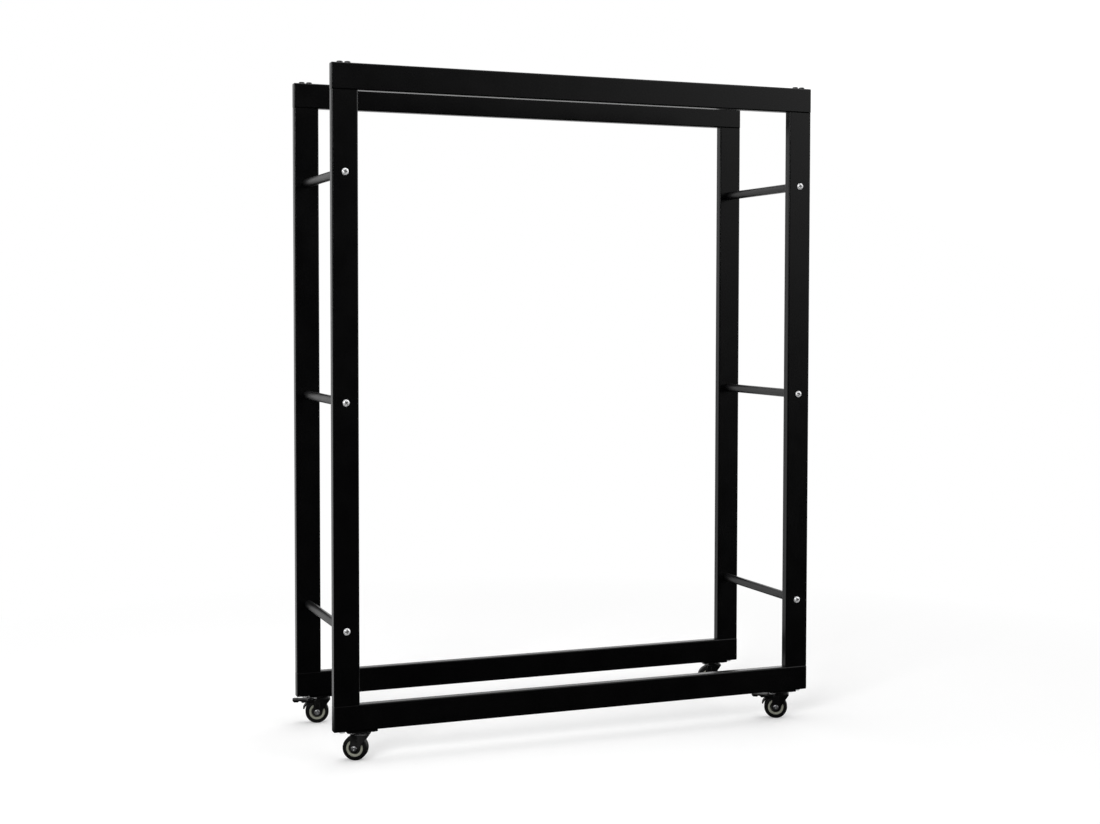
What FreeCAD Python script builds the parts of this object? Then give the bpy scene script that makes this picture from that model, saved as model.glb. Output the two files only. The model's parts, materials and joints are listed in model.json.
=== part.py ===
import FreeCAD, Part
import math
import os

# Rolling firewood rack: two flat steel frames joined by round rungs, on four swivel casters.
# Origin on the floor under the middle of the rack, +X to the right, +Y to the back, +Z up.

# Driving dimensions of the frame, in millimetres
WIDTH = 810.0
DEPTH = 262.0
FRAME_HEIGHT = 1000.0
TUBE_FACE = 40.0
TUBE_DEPTH = 15.0
TUBE_WALL = 1.5
TUBE_CORNER = 2.2
TUBE_INNER_CORNER_LEAST = 0.4
END_CAP_THICKNESS = 1.5
END_CAP_TO_BOLT = 2.0
END_CAP_ROUND = 0.6
ROUND_SHARE_OF_WALL = 0.7

# Rungs between the front and back posts
RUNG_NAMES = ("lower", "middle", "upper")
RUNG_DIAMETER = 14.0
RUNG_WALL = 1.5
RUNG_ABOVE_BASE = 152.0
RUNG_BELOW_TOP = 161.0
RUNG_PLUG_LENGTH = 20.0
RUNG_SCREW_DIAMETER = 6.0
RUNG_SCREW_GRIP = 14.0
RUNG_SCREW_HEAD = 10.8
RUNG_SCREW_HEAD_HEIGHT = 2.8
CROSS_RECESS_LENGTH = 5.2
CROSS_RECESS_WIDTH = 1.1
CROSS_RECESS_DEPTH = 1.4

# Bolts that hold the corners and the casters
BOLT_DIAMETER = 5.0
BOLT_HEAD = 9.5
BOLT_HEAD_HEIGHT = 2.5
BOLT_HEAD_GAP = 2.5
BOLT_GRIP = 9.0
BOLT_SOCKET_FLATS = 3.0
BOLT_SOCKET_DEPTH = 1.3
HEAD_ROUND = 1.5
POST_BLOCK_HEIGHT = 12.0
NUT_FLATS = 8.0
NUT_HEIGHT = 4.0

# Casters
WHEEL_WIDTH = 17.0
WHEEL_TOP_GAP = 1.5
WHEEL_SIDE_GAP = 0.8
CASTER_TRAIL = 9.0
PLATE_THICKNESS = 2.0
PLATE_WIDTH = 22.0
PLATE_CORNER = 4.0
PLATE_TO_BOLT_GAP = 1.5
PLATE_BOLT_TO_RACE = 3.4
RACE_GAP = 0.8
BALL_DIAMETER = 2.5
BALL_GAP = 0.5
BALL_CIRCLE = 14.0
RACE_LIP = 1.6
KINGPIN_DIAMETER = 6.0
KINGPIN_HEAD = 10.0
KINGPIN_TOP_HEIGHT = 1.0
KINGPIN_HEAD_HEIGHT = 1.5
KINGPIN_PLAY = 0.15
FORK_SHEET = 1.6
FORK_NOSE = 12.5
FORK_BEND = 1.4
FORK_END_RADIUS = 6.0
FORK_RIB_WIDTH = 7.4
FORK_RIB_HEIGHT = 0.8
FORK_RIB_BEVEL = 0.7
SWING_GAP = 0.4

# Wheel, from the axle out
AXLE_DIAMETER = 6.0
AXLE_HEAD = 9.0
AXLE_HEAD_HEIGHT = 1.8
BUSH_WALL = 1.2
BUSH_END_GAP = 0.2
HUB_BOSS_WALL = 1.6
HUB_WEB = 6.0
HUB_RECESS_WIDTH = 3.0
HUB_RING_WIDTH = 4.2
HUB_RING_INSET = 0.6
HUB_RING_BEVEL = 0.8
TYRE_STEP = 0.6
TYRE_STEP_HEIGHT = 2.4
TYRE_WALL_HEIGHT = 1.0
TYRE_SHOULDER = 2.6

# Brake of the front right and back left casters
BRAKE_TRAVEL = 9.0
BRAKE_PRESSED_GAP = 0.3
BRAKE_HUB_GAP = 1.4
BRAKE_PIN_DIAMETER = 3.0
BRAKE_PIN_HEAD = 5.0
BRAKE_PIN_HEAD_HEIGHT = 1.0
BRAKE_HUB_WALL = 1.3
BRAKE_EAR_WALL = 1.2
BRAKE_SIDE_GAP = 0.4
BRAKE_TONGUE = 2.0
BRAKE_TONGUE_ARC = 39.0
BRAKE_PEDAL_RISE = 3.6
BRAKE_PEDAL_TIP = 2.4
BRAKE_PEDAL_BELLY = 3.0
BRAKE_PEDAL_NECK_LENGTH = 12.5
BRAKE_PEDAL_BELLY_LENGTH = 4.5
BRAKE_PEDAL_TIP_LENGTH = 8.5
BRAKE_PEDAL_ROUND = 3.5

# Fits: gap on the radius
RUNNING_FIT = 0.06
CLOSE_FIT = 0.02
THREAD_FIT = 0.03
BOLT_HOLE_FIT = 0.25
RACE_FIT = 0.12

# Angle of each trailing fork about the vertical, and the casters with a brake
CASTER_ANGLES = {"front_left": -29.0, "front_right": -29.0, "back_left": -13.0, "back_right": -20.0}
BRAKED_CASTERS = ("front_right", "back_left")
SIDES = {"left": -1, "right": 1}
FACES = {"front": -1, "back": 1}

Vec = FreeCAD.Vector
ORIGIN = Vec(0, 0, 0)
X_AXIS = Vec(1, 0, 0)
Y_AXIS = Vec(0, 1, 0)
Z_AXIS = Vec(0, 0, 1)
DOWN = Vec(0, 0, -1)
HEX_SIDES = 6

# Levels and places worked out from the driving dimensions
boss_of_hub = AXLE_DIAMETER / 2 + BUSH_WALL + HUB_BOSS_WALL
ring_inner = boss_of_hub + HUB_RECESS_WIDTH
hub_radius = ring_inner + HUB_RING_WIDTH
tyre_step = hub_radius + TYRE_STEP_HEIGHT
tyre_shoulder = tyre_step + TYRE_WALL_HEIGHT
wheel_radius = tyre_shoulder + TYRE_SHOULDER
crown_bottom = 2 * wheel_radius + WHEEL_TOP_GAP
crown_top = crown_bottom + FORK_SHEET
plate_bottom = crown_top + SWING_GAP + BOLT_HEAD_HEIGHT
frame_bottom = plate_bottom + PLATE_THICKNESS
frame_top = frame_bottom + FRAME_HEIGHT
race_top = plate_bottom - RACE_GAP
race_radius = BALL_CIRCLE / 2
boss_radius = race_radius + BALL_DIAMETER / 2 + RACE_LIP

post_x = (WIDTH - TUBE_FACE) / 2
frame_y = (DEPTH - TUBE_DEPTH) / 2
rung_low = frame_bottom + RUNG_ABOVE_BASE
rung_high = frame_top - RUNG_BELOW_TOP
rung_pitch = (rung_high - rung_low) / (len(RUNG_NAMES) - 1)
bolt_half_pitch = (BOLT_HEAD + BOLT_HEAD_GAP) / 2
plate_hole_x = boss_radius + BOLT_HEAD / 2 + PLATE_BOLT_TO_RACE
caster_x = post_x - bolt_half_pitch - plate_hole_x
plate_half_length = plate_hole_x + 2 * bolt_half_pitch - BOLT_HEAD / 2 - PLATE_TO_BOLT_GAP
bolt_to_end = TUBE_FACE / 2 - bolt_half_pitch - BOLT_DIAMETER / 2
cap_plug_length = bolt_to_end - END_CAP_THICKNESS - END_CAP_TO_BOLT

fork_half_gap = WHEEL_WIDTH / 2 + WHEEL_SIDE_GAP
fork_half_width = fork_half_gap + FORK_SHEET
fork_half_ribs = fork_half_width + FORK_RIB_HEIGHT
axle_place = Vec(-CASTER_TRAIL, 0, wheel_radius)
fork_back = axle_place.x - FORK_END_RADIUS
brake_hub_radius = BRAKE_PIN_DIAMETER / 2 + BRAKE_HUB_WALL
brake_ear_radius = brake_hub_radius + BRAKE_EAR_WALL
brake_reach = wheel_radius + BRAKE_HUB_GAP + brake_hub_radius
brake_rise = crown_top - brake_ear_radius - axle_place.z
brake_back = math.sqrt(brake_reach ** 2 - brake_rise ** 2)
brake_place = axle_place + Vec(-brake_back, 0, brake_rise)

nodes = {}


def add(name, solid):
    nodes.setdefault(name, []).append(solid)


def moved(shape, place, degrees=0.0):
    copy = shape.copy()
    copy.rotate(ORIGIN, Z_AXIS, degrees)
    copy.translate(place)
    return copy


def facing(shape, place, way):
    # Its upper side turned about X to point the given way, then set in place
    turned = FreeCAD.Placement(place, FreeCAD.Rotation(X_AXIS, ORIGIN, way, "ZXY"))
    copy = shape.copy()
    copy.Placement = turned.multiply(copy.Placement)
    return copy


def block(low, high):
    size = high - low
    return Part.makeBox(size.x, size.y, size.z, low)


def rod(radius, start, end):
    reach = end - start
    return Part.makeCylinder(radius, reach.Length, start, reach)


def edges_along(shape, axis):
    found = []
    for edge in shape.Edges:
        run = edge.Vertexes[-1].Point - edge.Vertexes[0].Point
        if run.Length > 0 and abs(abs(run.dot(axis)) - run.Length) < Part.Precision.confusion():
            found.append(edge)
    return found


def rounded_bar(length, depth, height, corner, axis):
    half = Vec(length / 2, depth / 2, height / 2)
    bar = block(half.negative(), half)
    return bar.makeFillet(corner, edges_along(bar, axis))


def inner_corner():
    return max(TUBE_CORNER - TUBE_WALL, TUBE_INNER_CORNER_LEAST)


def outline_face(start, steps):
    # A step is a point for a straight run, or a middle point and an end point for an arc
    edges = []
    here = start
    for step in steps:
        if isinstance(step, tuple):
            edges.append(Part.Arc(here, step[0], step[1]).toShape())
            here = step[1]
        else:
            edges.append(Part.LineSegment(here, step).toShape())
            here = step
    return Part.Face(Part.Wire(edges))


def spun(start, steps):
    # Outline in radius (x) and place along the axle (z), turned into a round piece along Z
    return outline_face(start, steps).revolve(ORIGIN, Z_AXIS)


def hexagon(flats, height):
    corner_radius = flats / 2 / math.cos(math.pi / HEX_SIDES)
    corners = []
    for step in range(HEX_SIDES + 1):
        turn = 2 * math.pi * step / HEX_SIDES
        corners.append(Vec(corner_radius * math.cos(turn), corner_radius * math.sin(turn), 0))
    return Part.Face(Part.makePolygon(corners)).extrude(Z_AXIS * height)


def domed_head(diameter, height):
    head = Part.makeCylinder(diameter / 2, height)
    rim = [edge for edge in head.Edges if edge.BoundBox.ZMin > height / 2]
    return head.makeFillet(min(HEAD_ROUND, height * ROUND_SHARE_OF_WALL), rim)


def socket_bolt(shank_length):
    # Button head up, seat at the origin
    bolt = domed_head(BOLT_HEAD, BOLT_HEAD_HEIGHT).fuse(
        rod(BOLT_DIAMETER / 2, Vec(0, 0, -shank_length), ORIGIN))
    socket = hexagon(BOLT_SOCKET_FLATS, BOLT_SOCKET_DEPTH)
    socket.translate(Vec(0, 0, BOLT_HEAD_HEIGHT - BOLT_SOCKET_DEPTH))
    return bolt.cut(socket).removeSplitter()


def cross_screw(shank_length):
    # Pan head up, seat at the origin
    screw = domed_head(RUNG_SCREW_HEAD, RUNG_SCREW_HEAD_HEIGHT).fuse(
        rod(RUNG_SCREW_DIAMETER / 2, Vec(0, 0, -shank_length), ORIGIN))
    low = RUNG_SCREW_HEAD_HEIGHT - CROSS_RECESS_DEPTH
    high = RUNG_SCREW_HEAD_HEIGHT
    reach = CROSS_RECESS_LENGTH / 2
    half = CROSS_RECESS_WIDTH / 2
    along_x = block(Vec(-reach, -half, low), Vec(reach, half, high))
    along_y = block(Vec(-half, -reach, low), Vec(half, reach, high))
    return screw.cut(along_x.fuse(along_y)).removeSplitter()


def corner_bolt_places(side):
    return [side * (post_x + way * bolt_half_pitch) for way in (-1, 1)]


def make_rail(face_y, level):
    # Tube along X with its middle at the given level, closed by caps at both ends
    length = WIDTH - 2 * END_CAP_THICKNESS
    outer = rounded_bar(length, TUBE_DEPTH, TUBE_FACE, TUBE_CORNER, X_AXIS)
    inner = rounded_bar(
        length, TUBE_DEPTH - 2 * TUBE_WALL, TUBE_FACE - 2 * TUBE_WALL, inner_corner(), X_AXIS)
    rail = moved(outer.cut(inner), Vec(0, face_y, level))
    half = Vec(0, 0, TUBE_FACE)
    for side in SIDES.values():
        for bolt_x in corner_bolt_places(side):
            middle = Vec(bolt_x, face_y, level)
            rail = rail.cut(rod(BOLT_DIAMETER / 2 + BOLT_HOLE_FIT, middle - half, middle + half))
    return rail


def make_end_caps(face_y, level):
    for side in SIDES.values():
        cover = rounded_bar(END_CAP_THICKNESS, TUBE_DEPTH, TUBE_FACE, TUBE_CORNER, X_AXIS)
        outer_rim = [edge for edge in cover.Edges if edge.BoundBox.XMin > 0]
        cover = cover.makeFillet(min(END_CAP_ROUND, END_CAP_THICKNESS * ROUND_SHARE_OF_WALL), outer_rim)
        plug = rounded_bar(
            cap_plug_length, TUBE_DEPTH - 2 * TUBE_WALL, TUBE_FACE - 2 * TUBE_WALL,
            inner_corner() + THREAD_FIT, X_AXIS)
        plug.translate(Vec(-(END_CAP_THICKNESS + cap_plug_length) / 2, 0, 0))
        cap = cover.fuse(plug)
        if side < 0:
            cap = cap.mirror(ORIGIN, X_AXIS)
        place = Vec(side * (WIDTH - END_CAP_THICKNESS) / 2, face_y, level)
        add("rail_end_caps", moved(cap, place))


def make_post(post_place_x, face_y):
    height = FRAME_HEIGHT - 2 * TUBE_FACE
    outer = rounded_bar(TUBE_FACE, TUBE_DEPTH, height, TUBE_CORNER, Z_AXIS)
    inner = rounded_bar(
        TUBE_FACE - 2 * TUBE_WALL, TUBE_DEPTH - 2 * TUBE_WALL, height, inner_corner(), Z_AXIS)
    place = Vec(post_place_x, face_y, frame_bottom + FRAME_HEIGHT / 2)
    post = moved(outer.cut(inner), place)
    half = Vec(0, TUBE_DEPTH, 0)
    for index in range(len(RUNG_NAMES)):
        middle = Vec(post_place_x, face_y, rung_low + index * rung_pitch)
        post = post.cut(rod(RUNG_SCREW_DIAMETER / 2 + BOLT_HOLE_FIT, middle - half, middle + half))
    return post


def make_post_blocks(side, face_y):
    # Tapped blocks in both ends of a post, which take the corner bolts
    block_size = (TUBE_FACE - 2 * TUBE_WALL, TUBE_DEPTH - 2 * TUBE_WALL, POST_BLOCK_HEIGHT)
    plain = rounded_bar(*block_size, inner_corner() + THREAD_FIT, Z_AXIS)
    reach = Vec(0, 0, POST_BLOCK_HEIGHT)
    bottom_level = frame_bottom + TUBE_FACE + POST_BLOCK_HEIGHT / 2
    top_level = frame_top - TUBE_FACE - POST_BLOCK_HEIGHT / 2
    for level in (bottom_level, top_level):
        piece = moved(plain, Vec(side * post_x, face_y, level))
        for bolt_x in corner_bolt_places(side):
            middle = Vec(bolt_x, face_y, level)
            piece = piece.cut(rod(BOLT_DIAMETER / 2 + THREAD_FIT, middle - reach, middle + reach))
        add("post_end_blocks", piece)


def make_corner_bolts(side, face_y):
    inner_x, outer_x = sorted(corner_bolt_places(side), key=abs)
    plain = socket_bolt(TUBE_FACE + BOLT_GRIP)
    through_plate = socket_bolt(PLATE_THICKNESS + TUBE_FACE + BOLT_GRIP)
    for bolt_x in (inner_x, outer_x):
        add("top_corner_bolts", moved(plain, Vec(bolt_x, face_y, frame_top)))
    add("bottom_corner_bolts", facing(plain, Vec(outer_x, face_y, frame_bottom), DOWN))
    add("bottom_corner_bolts", facing(through_plate, Vec(inner_x, face_y, plate_bottom), DOWN))


def make_rung(side, level):
    half_length = DEPTH / 2 - TUBE_DEPTH
    start = Vec(side * post_x, -half_length, level)
    end = Vec(side * post_x, half_length, level)
    bore_radius = RUNG_DIAMETER / 2 - RUNG_WALL
    rung = rod(RUNG_DIAMETER / 2, start, end).cut(rod(bore_radius, start, end))
    shank = cross_screw(TUBE_DEPTH + RUNG_SCREW_GRIP)
    for face, way in FACES.items():
        mouth = Vec(side * post_x, way * half_length, level)
        depth = mouth - Vec(0, way * RUNG_PLUG_LENGTH, 0)
        plug = rod(bore_radius - CLOSE_FIT, mouth, depth)
        plug = plug.cut(rod(RUNG_SCREW_DIAMETER / 2 + THREAD_FIT, mouth, depth))
        add("rung_end_plugs", plug)
        seat = Vec(side * post_x, way * DEPTH / 2, level)
        add(face + "_rung_screws", facing(shank, seat, Y_AXIS * way))
    return rung


def make_frame():
    bottom_level = frame_bottom + TUBE_FACE / 2
    top_level = frame_top - TUBE_FACE / 2
    for face, way in FACES.items():
        face_y = way * frame_y
        add(face + "_top_rail", make_rail(face_y, top_level))
        bottom_rail = make_rail(face_y, bottom_level)
        for side in SIDES.values():
            bolt_x = side * (caster_x - plate_hole_x)
            wall_low = Vec(bolt_x, face_y, frame_bottom)
            wall_top = wall_low + Vec(0, 0, TUBE_WALL)
            bottom_rail = bottom_rail.cut(rod(BOLT_DIAMETER / 2 + BOLT_HOLE_FIT, wall_low, wall_top))
        add(face + "_bottom_rail", bottom_rail)
        for level in (bottom_level, top_level):
            make_end_caps(face_y, level)
        for name, side in SIDES.items():
            add(face + "_" + name + "_post", make_post(side * post_x, face_y))
            make_post_blocks(side, face_y)
            make_corner_bolts(side, face_y)
    for name, side in SIDES.items():
        for index, height in enumerate(RUNG_NAMES):
            add(name + "_" + height + "_rung", make_rung(side, rung_low + index * rung_pitch))


def race_groove():
    level = (plate_bottom + race_top) / 2
    return Part.makeTorus(race_radius, BALL_DIAMETER / 2 + RACE_FIT, Vec(0, 0, level), Z_AXIS)


def make_plate():
    plate = rounded_bar(2 * plate_half_length, PLATE_WIDTH, PLATE_THICKNESS, PLATE_CORNER, Z_AXIS)
    plate.translate(Vec(0, 0, frame_bottom - PLATE_THICKNESS / 2))
    reach = Vec(0, 0, PLATE_THICKNESS)
    for hole_x in (-plate_hole_x, plate_hole_x):
        low = Vec(hole_x, 0, plate_bottom)
        plate = plate.cut(rod(BOLT_DIAMETER / 2 + BOLT_HOLE_FIT, low, low + reach))
    low = Vec(0, 0, plate_bottom)
    plate = plate.cut(rod(KINGPIN_DIAMETER / 2 + CLOSE_FIT, low, low + reach))
    rim = Vec(0, 0, frame_bottom - KINGPIN_TOP_HEIGHT)
    plate = plate.cut(rod(KINGPIN_HEAD / 2 + CLOSE_FIT, rim, low + reach))
    return plate.cut(race_groove())


def make_kingpin():
    top = Vec(0, 0, frame_bottom)
    head_top = Vec(0, 0, race_top - FORK_SHEET - KINGPIN_PLAY)
    head_low = head_top - Vec(0, 0, KINGPIN_HEAD_HEIGHT)
    pin = rod(KINGPIN_DIAMETER / 2, head_low, top)
    pin = pin.fuse(rod(KINGPIN_HEAD / 2, head_low, head_top))
    return pin.fuse(rod(KINGPIN_HEAD / 2, top - Vec(0, 0, KINGPIN_TOP_HEIGHT), top)).removeSplitter()


def make_balls():
    level = (plate_bottom + race_top) / 2
    count = int(math.pi / math.asin((BALL_DIAMETER + BALL_GAP) / BALL_CIRCLE))
    balls = []
    for index in range(count):
        turn = 2 * math.pi * index / count
        place = Vec(race_radius * math.cos(turn), race_radius * math.sin(turn), level)
        balls.append(Part.makeSphere(BALL_DIAMETER / 2, place))
    return balls


def cheek_face(braked):
    # Side outline of one fork leg, round at the axle, straight at the back, sloping up to the nose
    nose = Vec(FORK_NOSE, 0, crown_bottom)
    reach = nose - axle_place
    slope = math.atan2(reach.z, reach.x) - math.acos(FORK_END_RADIUS / reach.Length)
    touch = axle_place + Vec(math.cos(slope), 0, math.sin(slope)) * FORK_END_RADIUS
    low_turn = (slope - math.pi) / 2
    lowest = axle_place + Vec(math.cos(low_turn), 0, math.sin(low_turn)) * FORK_END_RADIUS
    back_low = Vec(fork_back, 0, axle_place.z)
    steps = [
        Vec(fork_back, 0, crown_top), Vec(FORK_NOSE, 0, crown_top), nose, touch, (lowest, back_low)]
    cheek = outline_face(back_low, steps)
    if not braked:
        return cheek
    ear = [
        Vec(brake_place.x, 0, crown_top),
        (Vec(brake_place.x - brake_ear_radius, 0, brake_place.z),
         Vec(brake_place.x, 0, brake_place.z - brake_ear_radius)),
        Vec(fork_back, 0, brake_place.z - brake_ear_radius), Vec(axle_place.x, 0, brake_place.z),
        Vec(axle_place.x, 0, crown_top)]
    return cheek.fuse(outline_face(ear[-1], ear)).removeSplitter()


def fork_rib():
    # Pressed rib down the outside of a leg, with a round seat for the axle's head
    half = FORK_RIB_WIDTH / 2
    foot = half + FORK_RIB_BEVEL
    base = Vec(axle_place.x, 0, 0)
    corners = [
        base + Vec(-foot, 0, axle_place.z), base + Vec(-half, FORK_RIB_HEIGHT, axle_place.z),
        base + Vec(half, FORK_RIB_HEIGHT, axle_place.z), base + Vec(foot, 0, axle_place.z)]
    section = outline_face(corners[-1], corners)
    rib = section.extrude(Z_AXIS * (crown_bottom - axle_place.z))
    seat_radius = AXLE_HEAD / 2 + FORK_RIB_BEVEL
    seat = Part.makeCone(seat_radius, AXLE_HEAD / 2, FORK_RIB_HEIGHT, axle_place, Y_AXIS)
    rib = rib.fuse(seat)
    rib.translate(Vec(0, fork_half_width, 0))
    return rib


def make_fork(braked):
    fork = block(
        Vec(fork_back, -fork_half_width, crown_bottom), Vec(FORK_NOSE, fork_half_width, crown_top))
    cheek = cheek_face(braked).extrude(Y_AXIS * FORK_SHEET)
    fork = fork.fuse([
        moved(cheek, Vec(0, fork_half_gap, 0)), moved(cheek, Vec(0, -fork_half_width, 0))])
    fork = fork.removeSplitter()
    bends = []
    for edge in edges_along(fork, X_AXIS):
        box = edge.BoundBox
        on_top = box.ZMin > crown_top - CLOSE_FIT
        on_side = max(abs(box.YMin), abs(box.YMax)) > fork_half_width - CLOSE_FIT
        if on_top and on_side:
            bends.append(edge)
    fork = fork.makeFillet(min(FORK_BEND, FORK_SHEET), bends)
    rib = fork_rib()
    fork = fork.fuse([rib, rib.mirror(ORIGIN, Y_AXIS)])
    fork = fork.fuse(rod(boss_radius, Vec(0, 0, crown_bottom), Vec(0, 0, race_top)))
    recess_top = Vec(0, 0, race_top - FORK_SHEET)
    recess_radius = min(boss_radius, fork_half_gap) - RACE_LIP / 2
    fork = fork.cut(rod(recess_radius, Vec(0, 0, wheel_radius), recess_top))
    fork = fork.cut(rod(KINGPIN_DIAMETER / 2 + RUNNING_FIT, ORIGIN, Vec(0, 0, frame_bottom)))
    fork = fork.cut(race_groove())
    across = Vec(0, 2 * fork_half_ribs, 0)
    fork = fork.cut(rod(AXLE_DIAMETER / 2 + CLOSE_FIT, axle_place - across, axle_place + across))
    if braked:
        fork = fork.cut(
            rod(BRAKE_PIN_DIAMETER / 2 + CLOSE_FIT, brake_place - across, brake_place + across))
    return fork.removeSplitter()


def riveted_pin(diameter, head, head_height, half_grip, place):
    # Round pin along Y with a domed head against each side
    grip = Vec(0, half_grip, 0)
    pin = rod(diameter / 2, place - grip, place + grip)
    dome = domed_head(head, head_height)
    heads = [facing(dome, place - grip, grip.negative()), facing(dome, place + grip, grip)]
    return pin.fuse(heads).removeSplitter()


def round_on_axle(solid):
    return facing(solid, axle_place, Y_AXIS.negative())


def make_bush():
    inner = AXLE_DIAMETER / 2 + RUNNING_FIT
    outer = AXLE_DIAMETER / 2 + BUSH_WALL
    half = fork_half_gap - BUSH_END_GAP
    corners = [Vec(inner, 0, half), Vec(outer, 0, half), Vec(outer, 0, -half), Vec(inner, 0, -half)]
    return round_on_axle(spun(corners[-1], corners))


def make_hub():
    bore = AXLE_DIAMETER / 2 + BUSH_WALL + CLOSE_FIT
    face = WHEEL_WIDTH / 2 - HUB_RING_INSET
    web = HUB_WEB / 2
    lip = face - HUB_RING_BEVEL
    right = [
        Vec(bore, 0, face), Vec(boss_of_hub, 0, face), Vec(boss_of_hub, 0, web),
        Vec(ring_inner, 0, web), Vec(ring_inner, 0, lip),
        Vec(ring_inner + HUB_RING_BEVEL, 0, face), Vec(hub_radius, 0, face)]
    left = [Vec(point.x, 0, -point.z) for point in reversed(right)]
    corners = right + left
    return round_on_axle(spun(corners[-1], corners))


def make_tyre():
    inner = hub_radius + CLOSE_FIT
    side = WHEEL_WIDTH / 2
    wall = side - TYRE_STEP
    tread = wall - TYRE_SHOULDER
    bulge = TYRE_SHOULDER * math.sin(math.pi / 4)
    steps = [
        Vec(inner, 0, side), Vec(tyre_step, 0, side), Vec(tyre_step, 0, wall),
        Vec(tyre_shoulder, 0, wall),
        (Vec(tyre_shoulder + bulge, 0, tread + bulge), Vec(wheel_radius, 0, tread)),
        Vec(wheel_radius, 0, -tread),
        (Vec(tyre_shoulder + bulge, 0, -tread - bulge), Vec(tyre_shoulder, 0, -wall)),
        Vec(tyre_step, 0, -wall), Vec(tyre_step, 0, -side), Vec(inner, 0, -side)]
    return round_on_axle(spun(steps[-1], steps))


def make_brake_pedal():
    # The tongue is drawn round the tyre as when pressed, then swung back about the pin to rest
    half_width = fork_half_gap - BRAKE_SIDE_GAP
    inner = wheel_radius + BRAKE_PRESSED_GAP
    outer = inner + BRAKE_TONGUE
    start = math.atan2(brake_place.z - axle_place.z, brake_place.x - axle_place.x)
    end = start + math.radians(BRAKE_TONGUE_ARC)

    def around(radius, turn):
        return axle_place + Vec(math.cos(turn), 0, math.sin(turn)) * radius

    middle = (start + end) / 2
    tongue_steps = [
        (around(inner, middle), around(inner, end)), around(outer, end),
        (around(outer, middle), around(outer, start)), around(inner, start)]
    tongue = outline_face(around(inner, start), tongue_steps)
    tongue.rotate(brake_place, Y_AXIS, BRAKE_TRAVEL)
    belly_near = -BRAKE_PEDAL_NECK_LENGTH
    belly_far = belly_near - BRAKE_PEDAL_BELLY_LENGTH
    tip_top = Vec(belly_far - BRAKE_PEDAL_TIP_LENGTH, 0, BRAKE_PEDAL_RISE)
    corners = [
        Vec(0, 0, brake_hub_radius), tip_top, tip_top - Vec(0, 0, BRAKE_PEDAL_TIP),
        Vec(belly_far, 0, -BRAKE_PEDAL_BELLY), Vec(belly_near, 0, -BRAKE_PEDAL_BELLY),
        Vec(0, 0, -brake_hub_radius)]
    tread = outline_face(corners[-1], corners).extrude(Y_AXIS * 2 * half_width)
    tip_edges = []
    for edge in edges_along(tread, Z_AXIS):
        if edge.BoundBox.XMax < belly_far:
            tip_edges.append(edge)
    tread = tread.makeFillet(BRAKE_PEDAL_ROUND, tip_edges)
    tread.translate(brake_place - Vec(0, half_width, 0))
    tongue = tongue.extrude(Y_AXIS * 2 * half_width)
    tongue.translate(Vec(0, -half_width, 0))
    across = Vec(0, half_width, 0)
    pedal = tread.fuse([tongue, rod(brake_hub_radius, brake_place - across, brake_place + across)])
    pedal = pedal.cut(
        rod(BRAKE_PIN_DIAMETER / 2 + RUNNING_FIT, brake_place - across, brake_place + across))
    return pedal.removeSplitter()


def make_caster(corner, side, way):
    place = Vec(side * caster_x, way * frame_y, 0)
    turn = CASTER_ANGLES[corner]
    braked = corner in BRAKED_CASTERS

    def set_turned(name, solid):
        add(name, moved(solid, place, turn))

    add(corner + "_caster_plate", moved(make_plate(), place))
    add("caster_kingpins", moved(make_kingpin(), place))
    inner_hole = place + Vec(-side * plate_hole_x, 0, 0)
    bolt = socket_bolt(PLATE_THICKNESS + TUBE_WALL + NUT_HEIGHT)
    add("caster_plate_bolts", facing(bolt, inner_hole + Vec(0, 0, plate_bottom), DOWN))
    nut = hexagon(NUT_FLATS, NUT_HEIGHT)
    nut = nut.cut(rod(BOLT_DIAMETER / 2 + THREAD_FIT, ORIGIN, Vec(0, 0, NUT_HEIGHT)))
    add("caster_weld_nuts", moved(nut, inner_hole + Vec(0, 0, frame_bottom + TUBE_WALL)))
    set_turned(corner + "_fork", make_fork(braked))
    for ball in make_balls():
        set_turned(corner + "_swivel_balls", ball)
    axle = riveted_pin(AXLE_DIAMETER, AXLE_HEAD, AXLE_HEAD_HEIGHT, fork_half_ribs, axle_place)
    set_turned(corner + "_axle", axle)
    set_turned(corner + "_wheel_bush", make_bush())
    set_turned(corner + "_wheel_hub", make_hub())
    set_turned(corner + "_tyre", make_tyre())
    if braked:
        pin = riveted_pin(
            BRAKE_PIN_DIAMETER, BRAKE_PIN_HEAD, BRAKE_PIN_HEAD_HEIGHT, fork_half_width, brake_place)
        set_turned(corner + "_brake_pin", pin)
        set_turned(corner + "_brake_pedal", make_brake_pedal())


make_frame()
for face, way in FACES.items():
    for name, side in SIDES.items():
        make_caster(face + "_" + name, side, way)

os.makedirs("parts", exist_ok=True)
for name, solids in nodes.items():
    shape = solids[0] if len(solids) == 1 else Part.makeCompound(solids)
    shape.exportStep(os.path.join("parts", name + ".step"))
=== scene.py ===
import json
import math

import bmesh
import bpy
from mathutils import Matrix, Vector


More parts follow.
